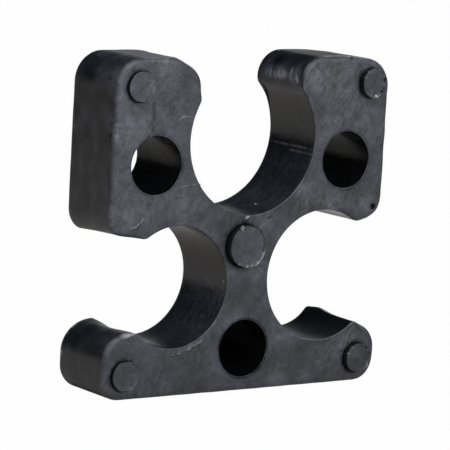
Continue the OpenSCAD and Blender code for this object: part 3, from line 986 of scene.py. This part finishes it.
def node_tools(tree):
    """Short ways to build a node tree, which is emptied first. A value is a constant or the
    socket that feeds it. add(kind, ...) makes a node, with its settings and inputs by name;
    work(operation, ...) does a sum; blend(terms, base) gives base plus every (value, weight)
    term, clamped to 0..1 at the last; mix(factor, a, b, kind) goes from a to b."""
    tree.nodes.clear()

    def feed(socket, value):
        if isinstance(value, bpy.types.NodeSocket):
            tree.links.new(value, socket)
        else:
            socket.default_value = value

    def add(kind, **settings):
        node = tree.nodes.new(kind)
        for key, value in settings.items():
            if hasattr(node, key):
                setattr(node, key, value)
            else:
                feed(node.inputs[key.replace("_", " ")], value)
        return node

    def work(operation, *values, use_clamp=False):
        step = add("ShaderNodeMath", operation=operation, use_clamp=use_clamp)
        for socket, value in zip(step.inputs, values):
            feed(socket, value)
        return step.outputs["Value"]

    def blend(terms, base):
        for k, (value, weight) in enumerate(terms):
            last = k == len(terms) - 1
            base = work("MULTIPLY_ADD", value, weight, base, use_clamp=last)
        return base

    def mix(factor, a, b, kind="RGBA"):
        return add("ShaderNodeMix", data_type=kind, Factor=factor, A=a, B=b).outputs["Result"]

    return add, work, blend, mix


def new_material(name):
    """An empty material, and the tools to build its nodes."""
    material = bpy.data.materials.new(name)
    material.use_nodes = True
    return material, *node_tools(material.node_tree)


def shaded_black_plastic(f):
    """The upper bores' walls: the same plastic with less reflection, as painted shade."""
    return satin_black_plastic(f, "shaded_black_plastic", 1.3)


def deep_shaded_black_plastic(f):
    """The foot bore's wall and the eased edge behind the top saddle's mouth: the same plastic
    with hardly any reflection, as painted shade."""
    return satin_black_plastic(f, "deep_shaded_black_plastic", 1.06)


def satin_black_plastic(f, name="satin_black_plastic", ior=1.5):
    """Satin recycled plastic. The chalk mark, bloom with painted light, shade and sheen in it,
    greys it, broken up by patches, grain and brush marks; the walls are blacker and glossier,
    with lines along the draw; the worn mark makes pale strokes of wear and painted glints."""
    material, add, work, blend, mix = new_material(name)
    where = add("ShaderNodeTexCoord").outputs["Object"]
    wall, wear_and_glints, gloss, chalk_and_painted_light = (
        add("ShaderNodeAttribute", attribute_name=mark).outputs["Fac"]
        for mark in ("wall", "wear_and_glints", "gloss", "chalk_and_painted_light"))

    def noise(scale, stretch=(1, 1, 1), lean=0.0, **settings):
        """Noise that is stretched along the axes, after a turn about Y."""
        spread = add("ShaderNodeMapping", vector_type="TEXTURE", Vector=where,
                     Rotation=(0, lean, 0), Scale=stretch)
        return add("ShaderNodeTexNoise", Vector=spread.outputs["Vector"], Scale=scale,
                   **settings).outputs["Fac"]

    clouds = noise(170.0, Detail=5.0, Roughness=0.6, Distortion=1.0)
    patches = noise(700.0, Detail=5.0, Roughness=0.65, Distortion=0.8)
    grain = noise(3800.0, Detail=3.0, Roughness=0.7)
    brush = noise(1900.0, (1, 1, 6), 0.5, Detail=4.0, Roughness=0.65, Distortion=1.2)
    hatch = noise(2300.0, (6, 1, 1), 0.25, Detail=4.0, Roughness=0.65, Distortion=1.2)
    draw = noise(1600.0, (1, 25, 1), Detail=3.0, Roughness=0.6)
    polish = noise(1300.0, (20, 1, 20), Detail=4.0, Roughness=0.65)

    mottle = mix(wall, blend([(patches, 1.7), (grain, 1.1), (brush, 1.0), (hatch, 0.4)], -1.45),
                 blend([(polish, 1.3), (patches, 2.2), (grain, 0.6)], -1.35), "FLOAT")
    # the greying colours carry painted light, shade and sheen as well as bloom
    greyed = mix(wall, (*f.bloom, 1), (*f.haze, 1))
    colour = mix(work("MULTIPLY", chalk_and_painted_light, mottle), (*f.plastic, 1), greyed)
    # pale strokes of wear and painted glints
    strokes = mix(
        wall, blend([(wear_and_glints, 1.6), (brush, 4.0), (grain, 2.0), (patches, 2.0)], -3.65),
        blend([(polish, 3.0), (grain, 1.0), (patches, 0.6)], -1.3), "FLOAT")
    colour = mix(work("MULTIPLY", wear_and_glints, strokes), colour, (*f.scuff, 1))
    dull = blend([(wall, -0.14), (gloss, -0.20), (patches, 0.12), (clouds, 0.16), (chalk_and_painted_light, 0.1)],
                 0.36)

    wavy = add("ShaderNodeBump", Strength=0.35, Distance=0.00025, Height=clouds)
    streaks = mix(wall, brush, blend([(draw, 0.25), (polish, 0.25)], 0.0), "FLOAT")
    lines = add("ShaderNodeBump", Strength=0.45, Distance=0.00004, Height=streaks,
                Normal=wavy.outputs["Normal"])
    fine = add("ShaderNodeBump", Strength=0.45, Distance=0.00002, Height=grain,
               Normal=lines.outputs["Normal"])
    shader = add("ShaderNodeBsdfPrincipled", IOR=ior, Base_Color=colour, Roughness=dull,
                 Normal=fine.outputs["Normal"])
    add("ShaderNodeOutputMaterial", Surface=shader.outputs["BSDF"])
    return material


def torn_plastic_and_glint(f):
    """Torn, stress-whitened plastic, on the crumbs, and on two pale dots that are painted glints.
    """
    material, add, _, _, mix = new_material("torn_plastic_and_glint")
    where = add("ShaderNodeTexCoord").outputs["Object"]
    noise = add("ShaderNodeTexNoise", Vector=where, Scale=2600.0, Detail=4.0)
    tone = mix(noise.outputs["Fac"], (*f.plastic, 1), (*f.torn, 1))
    shader = add("ShaderNodeBsdfPrincipled", Roughness=0.55, Base_Color=tone)
    add("ShaderNodeOutputMaterial", Surface=shader.outputs["BSDF"])
    return material


def material_of(maker):
    """The material that has its maker's name, made on first use."""
    return bpy.data.materials.get(maker.__name__) or maker(bpy.context.scene.rebar_finish)


# ---------------------------------------------------------------- studio

FLOOR_RADIUS = 6000  # in mm
FLOOR_BELOW = 0.02  # gap between the foot and the floor, in mm
FLOOR_WHITE = 0.985  # share of plain white in the floor, as the camera sees it
FLOOR_GLINT = 0.02  # the same share, as the plastic reflects it
LOOK_AT = (-0.00504, -0.0060, 0.02812)  # what the camera looks at, in m
LIGHT_AT = (0.0, 0.0, 0.028)  # what the lamps are aimed at, in m
SOFTBOXES = (  # name, place and size in m, power in W and colour
    ("front_softbox", (0.20, -1.0, 0.60), (1.2, 0.8), 14.2, (0.92, 0.955, 1.0)),
    ("left_softbox", (-0.60, -0.50, 1.0), (0.8, 0.8), 6.5, (0.98, 0.98, 1.0)),
    ("back_card", (0.27, 1.12, 0.15), (1.0, 0.28), 0.68, (0.97, 0.98, 1.0)),
    ("rear_softbox", (1.15, 0.70, 0.75), (0.9, 0.7), 5.0, (0.97, 0.98, 1.0)))


def aim(position, target, roll=0.0):
    """Matrix of something at position that looks at target along its own -Z."""
    back = (Vector(position) - Vector(target)).normalized()
    right = Vector((0, 0, 1)).cross(back).normalized()
    up = back.cross(right)
    across = math.cos(roll) * right + math.sin(roll) * up
    upward = back.cross(across)
    turned = Matrix((across, upward, back)).transposed().to_4x4()
    return Matrix.Translation(position) @ turned


def softbox(name, position, size, power, colour):
    """A rectangular lamp that is aimed at the chair."""
    light = bpy.data.lights.new(name, "AREA")
    light.shape = "RECTANGLE"
    light.size, light.size_y = size
    light.energy = power
    light.color = colour
    lamp = bpy.data.objects.new(name, light)
    lamp.matrix_world = aim(position, LIGHT_AT)
    bpy.context.scene.collection.objects.link(lamp)


def studio_camera(t):
    """The camera, on its sphere round the point that it looks at."""
    back = Vector((math.sin(t.azimuth) * math.cos(t.elevation),
                   -math.cos(t.azimuth) * math.cos(t.elevation), math.sin(t.elevation)))
    eye = bpy.data.cameras.new("camera")
    eye.lens, eye.sensor_width, eye.clip_start, eye.clip_end = t.lens, 36.0, 0.01, 50.0
    camera = bpy.data.objects.new("camera", eye)
    target = Vector(LOOK_AT)
    camera.matrix_world = aim(target + back * t.distance, target, t.roll)
    bpy.context.scene.collection.objects.link(camera)
    bpy.context.scene.camera = camera


def studio_floor(colour):
    """A wide pale disc just below the foot, which takes the chair's soft shadow."""
    angle = np.linspace(0, 2 * np.pi, 96, endpoint=False)
    verts = np.stack([FLOOR_RADIUS * np.cos(angle), FLOOR_RADIUS * np.sin(angle),
                      0 * angle - FLOOR_BELOW], 1)
    floor = make_piece("studio_floor", verts, [list(range(96))])
    material, add, work, _, _ = new_material("studio_floor")
    path = add("ShaderNodeLightPath").outputs
    lit = add("ShaderNodeBsdfDiffuse", Color=(*colour, 1))
    white = add("ShaderNodeEmission", Color=(1, 1, 1, 1), Strength=1.0)
    seen = work("MAXIMUM", path["Is Camera Ray"], path["Is Transmission Ray"])
    glint = work("MULTIPLY", path["Is Glossy Ray"], FLOOR_GLINT)
    some = work("MULTIPLY_ADD", seen, FLOOR_WHITE, glint)
    blend = add("ShaderNodeMixShader", Fac=some)
    material.node_tree.links.new(lit.outputs["BSDF"], blend.inputs[1])
    material.node_tree.links.new(white.outputs["Emission"], blend.inputs[2])
    add("ShaderNodeOutputMaterial", Surface=blend.outputs["Shader"])
    floor.data.materials.append(material)


def studio_world():
    """Plain white surroundings to the camera, a dimmer blue grey for the light they give."""
    world = bpy.data.worlds.new("studio")
    bpy.context.scene.world = world
    world.use_nodes = True
    add = node_tools(world.node_tree)[0]
    path = add("ShaderNodeLightPath").outputs
    soft = add("ShaderNodeBackground", Color=(0.75, 0.85, 1.0, 1), Strength=0.02)
    seen = add("ShaderNodeBackground", Color=(1, 1, 1, 1), Strength=1.0)
    blend = add("ShaderNodeMixShader", Fac=path["Is Camera Ray"])
    world.node_tree.links.new(soft.outputs["Background"], blend.inputs[1])
    world.node_tree.links.new(seen.outputs["Background"], blend.inputs[2])
    add("ShaderNodeOutputWorld", Surface=blend.outputs["Shader"])


# ---------------------------------------------------------------- operators

class REBAR_OT_plate(bpy.types.Operator):
    """Build the moulded plate in place of the CAD solid"""
    bl_idname = "rebar.plate"
    bl_label = "Plate"

    def execute(self, context):
        plate, finishes = build_plate(context.scene.rebar_plate)
        dress(plate, material_of(satin_black_plastic), material_of(shaded_black_plastic),
              material_of(deep_shaded_black_plastic))
        plate.data.polygons.foreach_set("material_index", finishes)
        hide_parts("chair")
        return {"FINISHED"}


class REBAR_OT_pads(bpy.types.Operator):
    """Build the four ejector pads at the corners of the front face"""
    bl_idname = "rebar.pads"
    bl_label = "Ejector pads"

    def execute(self, context):
        pads = context.scene.rebar_pads
        heights = {"upper_left": pads.left_height, "lower_left": pads.left_height,
                   "upper_right": pads.right_height, "lower_right": pads.right_height}
        corners = join_surfaces([pad_surface(name, height, **PAD_LOOKS[name])
                                 for name, height in heights.items()])
        dress(make_piece("ejector_pads", *corners), material_of(satin_black_plastic))
        return {"FINISHED"}


class REBAR_OT_gate(bpy.types.Operator):
    """Build the gate pad at the middle of the front face"""
    bl_idname = "rebar.gate"
    bl_label = "Gate pad"

    def execute(self, context):
        pad = pad_surface("gate", context.scene.rebar_pads.gate_height, **PAD_LOOKS["gate"])
        dress(make_piece("gate_pad", *pad), material_of(satin_black_plastic))
        return {"FINISHED"}


class REBAR_OT_flash(bpy.types.Operator):
    """Build the flash: the lap of skin below the left saddle with a painted highlight on its edge,
    and the torn crumbs with two painted glint dots
    """
    bl_idname = "rebar.flash"
    bl_label = "Moulding flash"

    def execute(self, context):
        s = context.scene.rebar_plate
        lip = s.lip_round + 0.1
        mouth = plate_layout(s)[0]["left"] + np.array([0, 0, lip])
        lap = lap_surface(LAP_PATH, width=1.4, height=0.32, seed=2, keep_off=mouth)
        dress(make_piece("flow_lap", *lap), material_of(satin_black_plastic))
        crumbs = join_surfaces([crumb_surface(x, front_y() + behind, z, size, seed)
                                for x, behind, z, size, seed in CRUMBS_AND_GLINT_DOTS])
        dress(make_piece("flash_crumbs_and_glints", *crumbs), material_of(torn_plastic_and_glint))
        return {"FINISHED"}


class REBAR_OT_marks(bpy.types.Operator):
    """Build the fine flow, weld and scratch marks on the front face"""
    bl_idname = "rebar.marks"
    bl_label = "Surface marks"

    def execute(self, context):
        marks = join_surfaces([hairline_surface(*line) for line in HAIRLINES])
        dress(make_piece("surface_marks", *marks), material_of(satin_black_plastic))
        return {"FINISHED"}


class REBAR_OT_studio(bpy.types.Operator):
    """Set up the pale floor, the soft lights and the camera"""
    bl_idname = "rebar.studio"
    bl_label = "Studio"

    def execute(self, context):
        context.scene.view_settings.view_transform = "Standard"
        studio_camera(context.scene.rebar_studio)
        studio_floor(context.scene.rebar_studio.backdrop)
        studio_world()
        for box in SOFTBOXES:
            softbox(*box)
        return {"FINISHED"}


class REBAR_PT_panel(bpy.types.Panel):
    """The rebar chair's sizes, finishes and build steps"""
    bl_idname = "REBAR_PT_panel"
    bl_label = "Rebar chair"
    bl_space_type = "VIEW_3D"
    bl_region_type = "UI"
    bl_category = "Rebar chair"

    def draw(self, context):
        scene = context.scene
        for name in GROUPS:
            group = getattr(scene, name)
            box = self.layout.box()
            for key in group.bl_rna.properties.keys():
                if key not in ("rna_type", "name"):
                    box.prop(group, key)
        for step in STEPS:
            self.layout.operator(step.bl_idname)


GROUPS = {"rebar_plate": RebarPlateSettings, "rebar_pads": RebarPadSettings,
          "rebar_finish": RebarFinishSettings, "rebar_studio": RebarStudioSettings}
STEPS = (REBAR_OT_plate, REBAR_OT_pads, REBAR_OT_gate, REBAR_OT_flash, REBAR_OT_marks,
         REBAR_OT_studio)


def register():
    """Adds the settings, the build steps and the panel to Blender."""
    for cls in (*GROUPS.values(), *STEPS, REBAR_PT_panel):
        bpy.utils.register_class(cls)
    for key, cls in GROUPS.items():
        setattr(bpy.types.Scene, key, bpy.props.PointerProperty(type=cls))


def unregister():
    """Takes them away again."""
    for key in GROUPS:
        delattr(bpy.types.Scene, key)
    for cls in (REBAR_PT_panel, *reversed(STEPS), *reversed(tuple(GROUPS.values()))):
        bpy.utils.unregister_class(cls)


def main():
    """Builds the chair and the studio."""
    register()
    bpy.ops.rebar.plate()
    bpy.ops.rebar.pads()
    bpy.ops.rebar.gate()
    bpy.ops.rebar.flash()
    bpy.ops.rebar.marks()
    bpy.ops.rebar.studio()


if __name__ == "__main__":
    main()
